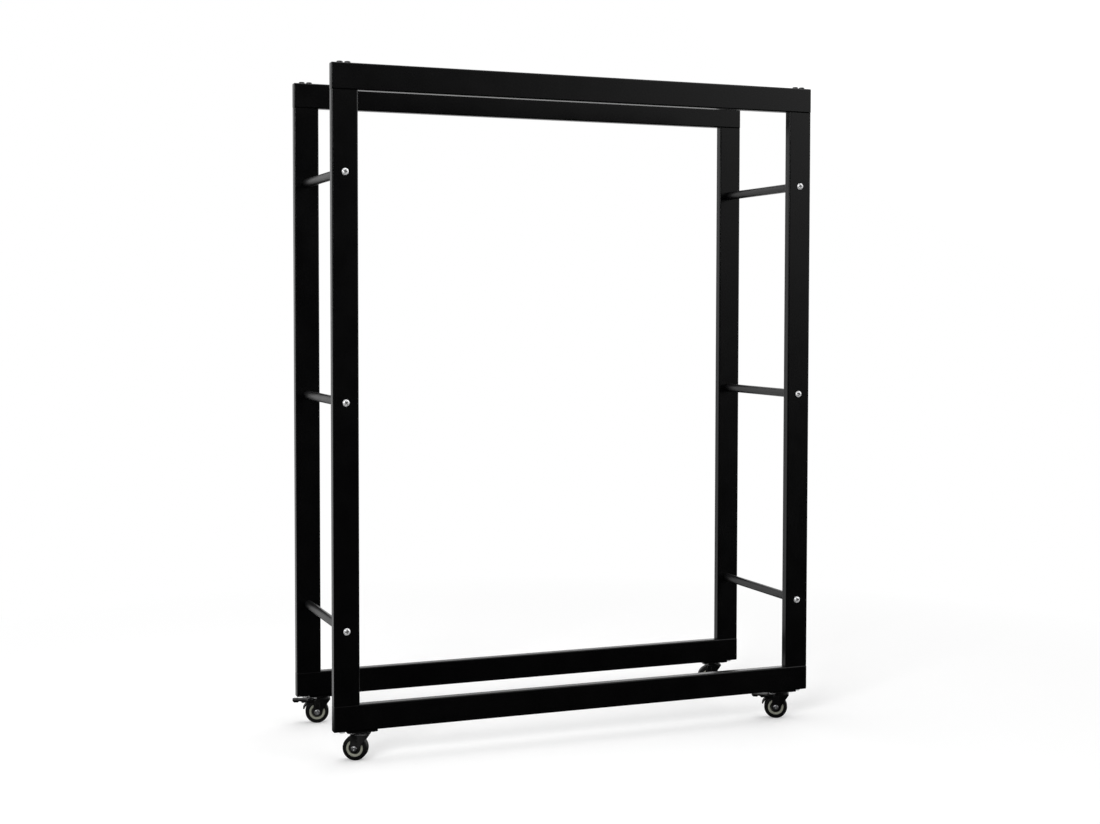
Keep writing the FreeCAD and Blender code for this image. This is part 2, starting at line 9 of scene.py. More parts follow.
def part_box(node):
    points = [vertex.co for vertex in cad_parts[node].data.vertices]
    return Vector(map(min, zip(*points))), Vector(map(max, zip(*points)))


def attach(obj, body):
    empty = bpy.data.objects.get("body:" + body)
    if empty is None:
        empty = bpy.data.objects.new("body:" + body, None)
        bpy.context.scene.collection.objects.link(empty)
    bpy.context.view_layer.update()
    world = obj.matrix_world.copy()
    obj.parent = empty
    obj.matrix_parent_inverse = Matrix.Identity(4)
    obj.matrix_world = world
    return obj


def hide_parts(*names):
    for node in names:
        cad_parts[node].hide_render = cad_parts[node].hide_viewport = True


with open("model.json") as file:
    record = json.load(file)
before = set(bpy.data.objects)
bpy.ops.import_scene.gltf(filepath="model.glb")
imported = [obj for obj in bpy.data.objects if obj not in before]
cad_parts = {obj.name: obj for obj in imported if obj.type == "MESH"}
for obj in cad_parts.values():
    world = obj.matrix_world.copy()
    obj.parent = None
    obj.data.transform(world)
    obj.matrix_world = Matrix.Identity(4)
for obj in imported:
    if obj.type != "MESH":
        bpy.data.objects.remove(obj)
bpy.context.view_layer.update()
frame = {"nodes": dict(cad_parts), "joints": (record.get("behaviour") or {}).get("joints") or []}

# Looks of a rolling firewood rack: satin black tube frames, round rungs, zinc screws and small casters.
# Metres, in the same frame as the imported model. The sizes of modelled pieces are in millimetres.

scene = bpy.context.scene
nodes = frame["nodes"]
joints = {joint["name"]: joint for joint in frame["joints"]}

MM = 0.001
ORIGIN = (0.0, 0.0, 0.0)
UP = Vector((0.0, 0.0, 1.0))
QUARTER_TURN = math.pi / 2
WHITE = (1.0, 1.0, 1.0, 1.0)
SIDES = ("left", "right")
CORNERS = ("front_left", "front_right", "back_left", "back_right")
BRAKED_CORNERS = ("front_right", "back_left")
# Point attribute that marks where painted shade goes in a recess
PAINTED_SHADE_MARK = "recess"


# Small helpers for node trees

# Numbers of the sockets in use on a node that mixes two colours
MIX_SHARE, MIX_FIRST, MIX_SECOND, MIX_RESULT = 0, 6, 7, 2


def feed(tree, socket, value):
    # A socket takes another node's output, or else a plain number, colour or place
    if isinstance(value, bpy.types.NodeSocket):
        tree.links.new(value, socket)
    else:
        socket.default_value = value


def add_node(tree, kind, inputs=None, **settings):
    node = tree.nodes.new(kind)
    for name, value in settings.items():
        setattr(node, name, value)
    for socket, value in (inputs or {}).items():
        feed(tree, node.inputs[socket], value)
    return node


def noise(tree, coords, scale, detail):
    node = add_node(tree, "ShaderNodeTexNoise", {"Vector": coords, "Scale": scale, "Detail": detail})
    return node.outputs["Fac"]


def ramp(tree, value, low, high, to_low=0.0, to_high=1.0):
    # Value spread from one range to another, held at both ends
    node = add_node(tree, "ShaderNodeMapRange", {
        "Value": value, "From Min": low, "From Max": high, "To Min": to_low, "To Max": to_high})
    return node.outputs["Result"]


def calculate(tree, operation, first, second):
    return add_node(tree, "ShaderNodeMath", {0: first, 1: second}, operation=operation).outputs[0]


def mix_colours(tree, share, first, second):
    sockets = {MIX_SHARE: share, MIX_FIRST: first, MIX_SECOND: second}
    return add_node(tree, "ShaderNodeMix", sockets, data_type="RGBA").outputs[MIX_RESULT]


def mix_shaders(tree, share, first, second):
    return add_node(tree, "ShaderNodeMixShader", {0: share, 1: first, 2: second}).outputs[0]


# Effects that several finishes share: a pattern is its scale per metre and its detail

EFFECT_OUTPUTS = ("Height", "Roughness", "Tone")
NOISE_MIDDLE = 0.5
COAT_PEEL_DETAIL = 2.0
COAT_CLOUDS = (22.0, 4.0)
COAT_CLOUD_TONE = (0.35, 0.7, 0.0, 0.6)
COAT_SPECKS = (1500.0, 1.0)
COAT_SPECK_TONE = (0.62, 0.8)
PLATED_PATCH_DETAIL = 3.0
PLATED_PATCH_TONE = (0.3, 0.7)
PLATED_GRAIN = (2600.0, 2.0)
PLATED_SCRATCHES = (420.0, 3.0)
PLATED_SCRATCH_STRETCH = (1.0, 1.0, 18.0)
MOULD_GRAIN_DETAIL = 3.0
MOULD_FLOW = (90.0, 3.0)
MOULD_FLOW_TONE = (0.3, 0.75)


def start_effect(name, inputs):
    group = bpy.data.node_groups.new(name, "ShaderNodeTree")
    for socket, value in inputs.items():
        made = group.interface.new_socket(socket, in_out="INPUT", socket_type="NodeSocketFloat")
        made.default_value = value
    for socket in EFFECT_OUTPUTS:
        group.interface.new_socket(socket, in_out="OUTPUT", socket_type="NodeSocketFloat")
    coords = add_node(group, "ShaderNodeTexCoord").outputs["Object"]
    return group, coords, add_node(group, "NodeGroupInput").outputs


def end_effect(group, given, height, gloss, tone):
    # Height and tone go out as they are, and the roughness drifts with the gloss pattern
    swing = calculate(group, "SUBTRACT", gloss, NOISE_MIDDLE)
    drift = calculate(group, "MULTIPLY", swing, given["Gloss Change"])
    roughness = calculate(group, "ADD", given["Roughness"], drift)
    add_node(group, "NodeGroupOutput", dict(zip(EFFECT_OUTPUTS, (height, roughness, tone))))
    return group


def sized_noise(group, coords, size, detail):
    # Noise whose grain is a length in millimetres, given by a group input
    return noise(group, coords, calculate(group, "DIVIDE", 1.0 / MM, size), detail)


def make_coat_peel():
    # Baked powder: fine orange peel, a soft cloudiness of the gloss and pale specks
    group, coords, given = start_effect(
        "coat_peel", {"Peel Size": 1.4, "Gloss Change": 0.1, "Roughness": 0.4})
    peel = sized_noise(group, coords, given["Peel Size"], COAT_PEEL_DETAIL)
    clouds = noise(group, coords, *COAT_CLOUDS)
    specks = ramp(group, noise(group, coords, *COAT_SPECKS), *COAT_SPECK_TONE)
    tone = calculate(group, "MAXIMUM", ramp(group, clouds, *COAT_CLOUD_TONE), specks)
    return end_effect(group, given, peel, clouds, tone)


def make_plated_metal():
    # Plating: cloudy patches, fine level scratches and a slight grain
    group, coords, given = start_effect(
        "plated_metal", {"Patch Size": 4.0, "Roughness": 0.3, "Gloss Change": 0.15})
    patches = sized_noise(group, coords, given["Patch Size"], PLATED_PATCH_DETAIL)
    grain = noise(group, coords, *PLATED_GRAIN)
    stretched = add_node(group, "ShaderNodeMapping", {"Vector": coords, "Scale": PLATED_SCRATCH_STRETCH})
    scratches = noise(group, stretched.outputs["Vector"], *PLATED_SCRATCHES)
    height = calculate(group, "ADD", grain, scratches)
    return end_effect(group, given, height, patches, ramp(group, patches, *PLATED_PATCH_TONE))


def make_mould_grain():
    # Moulded plastic and rubber: spark-eroded grain, and clouds left by the flow into the mould
    group, coords, given = start_effect(
        "mould_grain", {"Grain Size": 0.5, "Roughness": 0.55, "Gloss Change": 0.12})
    grain = sized_noise(group, coords, given["Grain Size"], MOULD_GRAIN_DETAIL)
    flow = noise(group, coords, *MOULD_FLOW)
    return end_effect(group, given, grain, flow, ramp(group, flow, *MOULD_FLOW_TONE))


coat_peel = make_coat_peel()
plated_metal = make_plated_metal()
mould_grain = make_mould_grain()


# Finishes: linear colours, and relief as a height in millimetres

def make_finish(name, effect, values, dark, light, relief, metallic=0.0, specular=0.5):
    material = bpy.data.materials.new(name)
    material.use_nodes = True
    tree = material.node_tree
    shader = tree.nodes["Principled BSDF"].inputs
    shader["Metallic"].default_value = metallic
    shader["Specular IOR Level"].default_value = specular
    pattern = add_node(tree, "ShaderNodeGroup", values, node_tree=effect).outputs
    bump = add_node(tree, "ShaderNodeBump", {
        "Strength": 1.0, "Distance": relief * MM, "Height": pattern["Height"]})
    feed(tree, shader["Base Color"], mix_colours(tree, pattern["Tone"], (*dark, 1.0), (*light, 1.0)))
    feed(tree, shader["Roughness"], pattern["Roughness"])
    feed(tree, shader["Normal"], bump.outputs["Normal"])
    return material


def coated_finish(name, dark, light, roughness, peel_size, relief, specular):
    values = {"Peel Size": peel_size, "Roughness": roughness}
    return make_finish(name, coat_peel, values, dark, light, relief, specular=specular)


def plated_finish(name, dark, light, roughness, patch_size, relief, metallic=1.0):
    values = {"Patch Size": patch_size, "Roughness": roughness}
    return make_finish(name, plated_metal, values, dark, light, relief, metallic=metallic)


def moulded_finish(name, dark, light, roughness, grain_size, relief, specular=0.4):
    values = {"Grain Size": grain_size, "Roughness": roughness}
    return make_finish(name, mould_grain, values, dark, light, relief, specular=specular)


def paint_recess_shade(material, colour):
    # Painted shade: a hollow, marked on the piece's own points, is painted darker than the rim around it,
    # standing in for the shade that falls there
    tree = material.node_tree
    base = tree.nodes["Principled BSDF"].inputs["Base Color"]
    recess = add_node(tree, "ShaderNodeAttribute", attribute_name=PAINTED_SHADE_MARK).outputs["Fac"]
    feed(tree, base, mix_colours(tree, recess, base.links[0].from_socket, (*colour, 1.0)))
    return material


def make_black_finishes():
    return (
        coated_finish(
            "frame_black", dark=(0.0005, 0.0005, 0.0006), light=(0.0013, 0.0013, 0.0014),
            roughness=0.25, peel_size=1.4, relief=0.024, specular=0.2),
        coated_finish(
            "rung_black", dark=(0.003, 0.003, 0.0033), light=(0.006, 0.006, 0.0064),
            roughness=0.35, peel_size=1.1, relief=0.02, specular=0.3),
        coated_finish(
            "caster_black", dark=(0.0008, 0.0008, 0.0009), light=(0.002, 0.002, 0.0021),
            roughness=0.22, peel_size=0.9, relief=0.014, specular=0.45),
        coated_finish(
            "pedal_black", dark=(0.0016, 0.0016, 0.0018), light=(0.0038, 0.0038, 0.004),
            roughness=0.5, peel_size=0.7, relief=0.02, specular=0.12),
        coated_finish(
            "black_bolt", dark=(0.002, 0.002, 0.0022), light=(0.005, 0.005, 0.0054),
            roughness=0.3, peel_size=0.6, relief=0.006, specular=0.3),
    )


def make_moulded_finishes():
    return (
        moulded_finish(
            "cap_black", dark=(0.0011, 0.0011, 0.0012), light=(0.0024, 0.0024, 0.0025),
            roughness=0.3, grain_size=0.6, relief=0.01, specular=0.22),
        moulded_finish(
            "tyre_rubber", dark=(0.0012, 0.0012, 0.0012), light=(0.0026, 0.0025, 0.0024),
            roughness=0.5, grain_size=0.35, relief=0.01, specular=0.15),
        # Painted shade: the recess inside the hub's raised ring is painted dark grey
        paint_recess_shade(moulded_finish(
            "hub_plastic", dark=(0.22, 0.225, 0.18), light=(0.29, 0.295, 0.24),
            roughness=0.45, grain_size=0.4, relief=0.006), (0.032, 0.032, 0.027)),
    )


def make_metal_finishes():
    return (
        # Painted shade: the cross recess in the screw heads is painted dark grey
        paint_recess_shade(plated_finish(
            "zinc_screw", dark=(0.78, 0.785, 0.79), light=(0.9, 0.905, 0.91),
            roughness=0.4, patch_size=2.5, relief=0.002, metallic=0.58), (0.2, 0.2, 0.2)),
        plated_finish(
            "plain_steel", dark=(0.38, 0.38, 0.39), light=(0.5, 0.5, 0.51),
            roughness=0.38, patch_size=5.0, relief=0.003),
        plated_finish(
            "axle_steel", dark=(0.2, 0.2, 0.205), light=(0.32, 0.32, 0.325),
            roughness=0.3, patch_size=2.0, relief=0.003),
        plated_finish(
            "blackened_pin", dark=(0.015, 0.015, 0.016), light=(0.03, 0.03, 0.031),
            roughness=0.36, patch_size=2.0, relief=0.003),
        plated_finish(
            "bearing_steel", dark=(0.62, 0.62, 0.64), light=(0.76, 0.76, 0.78),
            roughness=0.14, patch_size=1.5, relief=0.0008),
    )


slot_of_node = {name: node.material_slots[0].material.name for name, node in nodes.items()}
for imported in list(bpy.data.materials):
    bpy.data.materials.remove(imported)
finishes = {
    finish.name: finish
    for finish in make_black_finishes() + make_moulded_finishes() + make_metal_finishes()}
for name, node in nodes.items():
    node.material_slots[0].material = finishes[slot_of_node[name]]
for corner in BRAKED_CORNERS:
    nodes[corner + "_brake_pin"].material_slots[0].material = finishes["blackened_pin"]


# Modelling helpers: a start shape is drawn out in edit mode, then finished with modifiers

MERGE_DISTANCE = 0.01 * MM
SMOOTH_ANGLE = math.radians(32.0)
EDGE_SEGMENTS = 2
DOME_STEPS = 6
SMALL_ROUND_SIDES = 48
# A face looks along an axis when its normal has at least this share of it
FACING = 0.9


def pick(*pieces):
    bpy.ops.object.select_all(action="DESELECT")
    for piece in pieces:
        piece.select_set(True)
    bpy.context.view_layer.objects.active = pieces[0]


def open_piece(piece):
    pick(piece)
    bpy.ops.object.mode_set(mode="EDIT")
    bpy.ops.mesh.select_mode(type="VERT")
    bpy.ops.mesh.select_all(action="SELECT")


def start_piece(name, add_primitive, **size):
    bpy.ops.object.select_all(action="DESELECT")
    add_primitive(**size)
    piece = bpy.context.object
    piece.name = name
    open_piece(piece)
    return piece


def clean_mesh():
    bpy.ops.mesh.select_all(action="SELECT")
    bpy.ops.mesh.remove_doubles(threshold=MERGE_DISTANCE)
    bpy.ops.mesh.normals_make_consistent(inside=False)


def end_piece(piece):
    clean_mesh()
    bpy.ops.object.mode_set(mode="OBJECT")
    return piece


def draw_out(step):
    bpy.ops.mesh.extrude_region_move(TRANSFORM_OT_translate={"value": step})


def select_where(piece, kind, test):
    # Vertices, edges or faces for which the test is true, by their place in millimetres and their normal
    bpy.ops.mesh.select_mode(type=kind)
    bpy.ops.mesh.select_all(action="DESELECT")
    mesh = bmesh.from_edit_mesh(piece.data)
    found = {"VERT": mesh.verts, "EDGE": mesh.edges, "FACE": mesh.faces}[kind]
    for item in found:
        if kind == "VERT":
            chosen = test(item.co / MM)
        elif kind == "EDGE":
            chosen = test(item.verts[0].co / MM, item.verts[1].co / MM)
        else:
            chosen = test(item.calc_center_median() / MM, item.normal)
        item.select_set(chosen)
    mesh.select_flush_mode()
    bmesh.update_edit_mesh(piece.data)


def apply_modifier(piece, kind, **settings):
    pick(piece)
    modifier = piece.modifiers.new(kind.lower(), kind)
    for name, value in settings.items():
        setattr(modifier, name, value)
    bpy.ops.object.modifier_apply(modifier=modifier.name)


def smooth(piece):
    pick(piece)
    bpy.ops.object.shade_smooth_by_angle(angle=SMOOTH_ANGLE)


def soften(piece, width):
    # Small rounds on every sharp edge, width in millimetres
    apply_modifier(
        piece, "BEVEL", width=width * MM, segments=EDGE_SEGMENTS, limit_method="ANGLE",
        angle_limit=SMOOTH_ANGLE)
    smooth(piece)


def combine(piece, other, operation):
    apply_modifier(piece, "BOOLEAN", object=other, operation=operation, solver="EXACT")
    bpy.data.objects.remove(other)


def turn(name, rings, sides, hollow=False):
    # Round piece along Z: a circle drawn out ring by ring through radius and height, in millimetres
    radius, height = rings[0]
    piece = start_piece(
        name, bpy.ops.mesh.primitive_circle_add, vertices=sides, radius=radius * MM,
        fill_type="NOTHING" if hollow else "NGON")
    bpy.ops.transform.translate(value=(0.0, 0.0, height * MM))
    for next_radius, next_height in rings[1:] + (rings[:1] if hollow else []):
        draw_out((0.0, 0.0, (next_height - height) * MM))
        growth = next_radius / radius
        bpy.ops.transform.resize(
            value=(growth, growth, 1.0), center_override=(0.0, 0.0, next_height * MM))
        radius, height = next_radius, next_height
    return end_piece(piece)


def dome(radius, height, flat, top):
    # Quarter of an ellipse from a head's rim up to its flat, as rings of radius and height
    angles = [QUARTER_TURN * step / DOME_STEPS for step in range(DOME_STEPS + 1)]
    return [
        (flat + (radius - flat) * math.cos(angle), height + (top - height) * math.sin(angle))
        for angle in angles]


def cross_rod(name, radius, half_length):
    # Round rod along Y
    rod = turn(name, [(radius, -half_length), (radius, half_length)], SMALL_ROUND_SIDES)
    rod.data.transform(Matrix.Rotation(QUARTER_TURN, 4, "X"))
    return rod


def mark_painted_shade(piece, test):
    # Painted shade: each point gets 1 where its recess is painted dark and 0 elsewhere
    marks = piece.data.attributes.new(PAINTED_SHADE_MARK, "FLOAT", "POINT")
    for mark, point in zip(marks.data, piece.data.vertices):
        mark.value = float(test(point.co))


def place_copy(model, name, placement):
    piece = model.copy()
    piece.data = model.data.copy()
    piece.name = name
    piece.data.name = name
    piece.data.transform(placement)
    scene.collection.objects.link(piece)
    return piece


def gather(name, copies):
    pick(*copies)
    bpy.ops.object.join()
    copies[0].name = name
    return copies[0]


def dress(piece, node, slot, body):
    piece.data.materials.clear()
    piece.data.materials.append(finishes[slot])
    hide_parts(node)
    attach(piece, body)


# Cross-recessed screws that hold the rungs, head up along Z until they are set in a post

RUNG_LEVELS = ("lower", "middle", "upper")
SCREW_FACES = {"front": QUARTER_TURN, "back": -QUARTER_TURN}
SCREW_TURN = math.radians(37.0)
SCREW_RIM = 0.3
SCREW_FLAT = 2.8
SCREW_EDGE = 0.1
SHANK_RADIUS = 3.0
SHANK_TIP = 0.8
RECESS_LENGTH = 7.8
RECESS_WIDTH = 2.5
RECESS_DEPTH = 2.0
RECESS_TAPER = 0.62


def cut_cross_recess(screw, head_height):
    # Two crossed bars, narrower at the bottom, taken out of the head
    for angle in (0.0, QUARTER_TURN):
        bar = start_piece("recess_bar", bpy.ops.mesh.primitive_cube_add, size=MM)
        bpy.ops.transform.resize(value=(RECESS_LENGTH, RECESS_WIDTH, 2 * RECESS_DEPTH))
        select_where(bar, "VERT", lambda place: place.z < 0)
        bpy.ops.transform.resize(value=(RECESS_TAPER, RECESS_TAPER, 1.0), center_override=ORIGIN)
        end_piece(bar)
        bar.data.transform(
            Matrix.Translation((0.0, 0.0, head_height * MM)) @ Matrix.Rotation(angle, 4, "Z"))
        combine(screw, bar, "DIFFERENCE")


def make_screw():
    post_low, post_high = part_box("front_left_post")
    screw_low, screw_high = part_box("front_rung_screws")
    head_height = (post_low.y - screw_low.y) / MM
    shank = (screw_high.y - post_low.y) / MM
    head = ((post_low.x + post_high.x) / 2 - screw_low.x) / MM
    screw = turn("rung_screw", [
        (SHANK_RADIUS - SHANK_TIP, -shank), (SHANK_RADIUS, SHANK_TIP - shank), (SHANK_RADIUS, 0.0),
        (head, 0.0), *dome(head, SCREW_RIM, SCREW_FLAT, head_height),
    ], SMALL_ROUND_SIDES)
    cut_cross_recess(screw, head_height)
    soften(screw, SCREW_EDGE)
    # Painted shade: points low in the cross recess are painted darker, fading up its walls
    mark_painted_shade(screw, lambda place: (
        place.xy.length < SHANK_RADIUS * MM and 0.0 < place.z < head_height / 2 * MM))
    return screw


def make_rung_screws():
    screw = make_screw()
    for face, lean in SCREW_FACES.items():
        copies = []
        for side in SIDES:
            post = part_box(face + "_" + side + "_post")
            seat_y = post[0].y if face == "front" else post[1].y
            for level in RUNG_LEVELS:
                low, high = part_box(side + "_" + level + "_rung")
                middle = (low + high) / 2
                placement = (
                    Matrix.Translation((middle.x, seat_y, middle.z)) @ Matrix.Rotation(lean, 4, "X")
                    @ Matrix.Rotation(SCREW_TURN * len(copies), 4, "Z"))
                copies.append(place_copy(screw, "rung_screw_copy", placement))
        dress(gather(face + "_rung_screw_set", copies), face + "_rung_screws", "zinc_screw", "frame")
    bpy.data.objects.remove(screw)


# Plastic caps in the rails' ends

RAILS = ("front_top_rail", "front_bottom_rail", "back_top_rail", "back_bottom_rail")
TUBE_WALL = 1.5
CAP_FIT = 0.05
CAP_PLUG = 8.0
CAP_CORNER = 2.2
CAP_CORNER_SEGMENTS = 5
CAP_ROUND = 1.2
CAP_ROUND_SEGMENTS = 4


def make_cap():
    # Cap for a right hand end, its seat at the origin and its plug towards the tube's inside
    rail_low, rail_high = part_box("front_top_rail")
    thickness = (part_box("rail_end_caps")[1].x - rail_high.x) / MM
    depth = (rail_high.y - rail_low.y) / MM
    face = (rail_high.z - rail_low.z) / MM
    cap = start_piece("rail_cap", bpy.ops.mesh.primitive_cube_add, size=MM)
    bpy.ops.transform.resize(value=(thickness, depth, face))
    bpy.ops.transform.translate(value=(thickness / 2 * MM, 0.0, 0.0))
    select_where(cap, "EDGE", lambda first, last: abs(first.x - last.x) > thickness / 2)
    bpy.ops.mesh.bevel(offset=CAP_CORNER * MM, segments=CAP_CORNER_SEGMENTS, affect="EDGES")
    select_where(cap, "FACE", lambda place, normal: normal.x > FACING)
    bpy.ops.mesh.region_to_loop()
    bpy.ops.mesh.bevel(offset=CAP_ROUND * MM, segments=CAP_ROUND_SEGMENTS, affect="EDGES")
    select_where(cap, "FACE", lambda place, normal: normal.x < -FACING)
    bpy.ops.mesh.inset(thickness=(TUBE_WALL + CAP_FIT) * MM)
    draw_out((-CAP_PLUG * MM, 0.0, 0.0))
    end_piece(cap)
    smooth(cap)
    return cap


def make_rail_caps():
    cap = make_cap()
    copies = []
    for rail in RAILS:
        low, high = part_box(rail)
        middle = (low + high) / 2
        for end_x, angle in ((high.x, 0.0), (low.x, math.pi)):
            placement = Matrix.Translation((end_x, middle.y, middle.z)) @ Matrix.Rotation(angle, 4, "Z")
            copies.append(place_copy(cap, "rail_cap_copy", placement))
    bpy.data.objects.remove(cap)
    dress(gather("rail_end_cap_set", copies), "rail_end_caps", "cap_black", "frame")


# Where a caster stands and how it is turned

def caster_turn(corner):
    # The caster's own directions: X towards the fork's nose, Y along the axle, Z up
    along = Vector(joints[corner + "_roll"]["axis"])
    return Matrix((along.cross(UP), along, UP)).transposed()


def caster_placement(corner):
    # The caster's own frame stands on the floor under its swivel
    swivel = Vector(joints[corner + "_swivel"]["pos_m"])
    return Matrix.Translation((swivel.x, swivel.y, 0.0)) @ caster_turn(corner).to_4x4()


def joint_placement(corner, joint):
    # Turned as the caster is, with its middle at one of the caster's joints
    return Matrix.Translation(joints[corner + joint]["pos_m"]) @ caster_turn(corner).to_4x4()


def caster_point(corner, joint):
    # A joint's place in its caster's own frame, in millimetres
    return caster_placement(corner).inverted() @ Vector(joints[corner + joint]["pos_m"]) / MM


# Wheels: rubber tyre, moulded hub and riveted axle, along Z until they are set on a caster

WHEEL_ROUND_SIDES = 72
WHEEL_HALF_WIDTH = 8.5
WHEEL_RADIUS = 19.0
HUB_RADIUS = 13.0
TYRE_FIT = 0.02
TYRE_LIP = 0.5
TYRE_STEP_RADIUS = 15.4
TYRE_STEP = 0.6
TYRE_SHOULDER = 2.6
TYRE_EDGE = 0.22
SHOULDER_STEPS = 5
PARTING_GROOVE = 0.15
HUB_FACE = 7.9
HUB_WEB = 2.2
HUB_BOSS = 5.8
HUB_BORE = 4.22
HUB_DRAFT = 0.35
HUB_EDGE = 0.25
HUB_RING_INNER = 9.1
HUB_RING_CHAMFER = 0.9
HUB_RING_SHOULDER = 0.7
HUB_RING_CROWN = 0.1
HUB_RIM_SLOPE = 1.1
HUB_RIM_FLAT = 0.5
HUB_RIM_DROP = 0.35
AXLE_RADIUS = 3.0
AXLE_GRIP = 11.7
AXLE_HEAD = 4.5
AXLE_RIM = 0.45
AXLE_CROWN = 1.8
AXLE_DIMPLE = 1.4
AXLE_DIMPLE_FLOOR = 0.7
AXLE_DIMPLE_DEPTH = 0.45
AXLE_EDGE = 0.12


def mirrored(half):
    # A list of rings and its mirror image, from one face of the wheel to the other
    return half + [(radius, -height) for radius, height in reversed(half)]


def make_tyre():
    wall = WHEEL_HALF_WIDTH - TYRE_STEP
    shoulder = WHEEL_RADIUS - TYRE_SHOULDER
    tread = wall - TYRE_SHOULDER
    half = [
        (HUB_RADIUS + TYRE_FIT, WHEEL_HALF_WIDTH), (HUB_RADIUS + TYRE_LIP, WHEEL_HALF_WIDTH),
        (TYRE_STEP_RADIUS, WHEEL_HALF_WIDTH), (TYRE_STEP_RADIUS, wall), (shoulder, wall)]
    for step in range(1, SHOULDER_STEPS + 1):
        angle = QUARTER_TURN * step / SHOULDER_STEPS
        half.append((shoulder + TYRE_SHOULDER * math.sin(angle), tread + TYRE_SHOULDER * math.cos(angle)))
    half += [(WHEEL_RADIUS, 2 * PARTING_GROOVE), (WHEEL_RADIUS - PARTING_GROOVE, PARTING_GROOVE)]
    tyre = turn("tyre", mirrored(half), WHEEL_ROUND_SIDES, hollow=True)
    soften(tyre, TYRE_EDGE)
    return tyre


def make_hub():
    # Boss round the bore, a thin web in the recess, and a raised ring inside the tyre
    half = [
        (HUB_BORE, HUB_FACE), (HUB_BOSS, HUB_FACE), (HUB_BOSS + HUB_DRAFT, HUB_WEB),
        (HUB_RING_INNER - HUB_DRAFT, HUB_WEB), (HUB_RING_INNER, HUB_FACE - HUB_RING_CHAMFER),
        (HUB_RING_INNER + HUB_RING_SHOULDER, HUB_FACE - HUB_RING_CROWN),
        (HUB_RADIUS - HUB_RIM_SLOPE, HUB_FACE), (HUB_RADIUS - HUB_RIM_FLAT, HUB_FACE - HUB_RIM_DROP),
        (HUB_RADIUS, HUB_FACE - HUB_RIM_DROP)]
    hub = turn("hub", mirrored(half), WHEEL_ROUND_SIDES, hollow=True)
    soften(hub, HUB_EDGE)
    # Painted shade: everything inside the raised ring, web and boss, is painted dark
    mark_painted_shade(hub, lambda place: place.xy.length < HUB_RING_INNER * MM)
    return hub


def make_axle():
    # Round pin with a domed head at both ends, each with the dimple of the rivet tool
    head = [
        (AXLE_RADIUS, 0.0), (AXLE_HEAD, 0.0), *dome(AXLE_HEAD, AXLE_RIM, AXLE_DIMPLE, AXLE_CROWN),
        (AXLE_DIMPLE_FLOOR, AXLE_CROWN - AXLE_DIMPLE_DEPTH)]
    upper = [(radius, AXLE_GRIP + height) for radius, height in head]
    lower = [(radius, -height) for radius, height in reversed(upper)]
    axle = turn("axle", lower + upper, SMALL_ROUND_SIDES)
    soften(axle, AXLE_EDGE)
    return axle


def make_wheels():
    models = (
        (make_tyre(), "tyre_ring", "tyre", "tyre_rubber", "wheel"),
        (make_hub(), "hub_moulding", "wheel_hub", "hub_plastic", "wheel"),
        (make_axle(), "axle_rivet", "axle", "axle_steel", "caster"))
    for corner in CORNERS:
        placement = joint_placement(corner, "_roll") @ Matrix.Rotation(QUARTER_TURN, 4, "X")
        for model, name, node, slot, body in models:
            piece = place_copy(model, corner + "_" + name, placement)
            dress(piece, corner + "_" + node, slot, corner + "_" + body)
    for model, *_ in models:
        bpy.data.objects.remove(model)


# Brake pedals: ribbed tread, pivot barrel and the tongue that presses on the tyre

PEDAL_HALF_WIDTH = 8.9
PEDAL_SLICES = 8
PEDAL_CROWN = 0.34
PEDAL_CROWN_POWER = 4
PEDAL_BARREL = 2.8
PEDAL_BORE = 1.56
PEDAL_REACH = 25.5
PEDAL_TIP_ROUND = 3.5
PEDAL_TIP_SEGMENTS = 6
PEDAL_EDGE = 0.15
TONGUE_INNER = 19.3
TONGUE_THICKNESS = 2.0
TONGUE_ARC = math.radians(39.0)
TONGUE_STEPS = 8
BRAKE_TRAVEL = math.radians(9.0)
# Side outline: distance behind the pin, or behind a rib's start, then underside and top
PEDAL_ARM = [
    (0.0, -2.7, 2.7), (4.5, -2.9, 2.8), (8.2, -3.5, 2.9), (10.3, -3.4, 2.9), (11.2, -0.8, 2.9),
    (13.8, 0.4, 2.9), (15.4, -0.4, 2.9)]
PEDAL_TIP = [(23.6, -1.2, 3.0), (24.8, 0.0, 2.8), (PEDAL_REACH, 1.2, 2.2)]
TREAD_RIB = [(0.0, -2.2, 2.9), (0.4, -2.3, 3.6), (1.2, -2.3, 3.6), (1.6, -2.2, 2.9)]
TREAD_RIB_STARTS = (16.2, 18.6, 21.0)


def pedal_outline():
    ribs = [(start + along, low, high) for start in TREAD_RIB_STARTS for along, low, high in TREAD_RIB]
    return PEDAL_ARM + ribs + PEDAL_TIP


def round_tip(tread):
    # What lies outside a block with rounded back corners is taken off the tread
    block = start_piece("tip_block", bpy.ops.mesh.primitive_cube_add, size=MM)
    bpy.ops.transform.resize(value=(2 * PEDAL_REACH, 2 * PEDAL_HALF_WIDTH, PEDAL_REACH))
    select_where(block, "EDGE", lambda first, last: (
        first.x < 0 and last.x < 0 and abs(first.z - last.z) > PEDAL_REACH / 2))
    bpy.ops.mesh.bevel(offset=PEDAL_TIP_ROUND * MM, segments=PEDAL_TIP_SEGMENTS, affect="EDGES")
    combine(tread, end_piece(block), "INTERSECT")


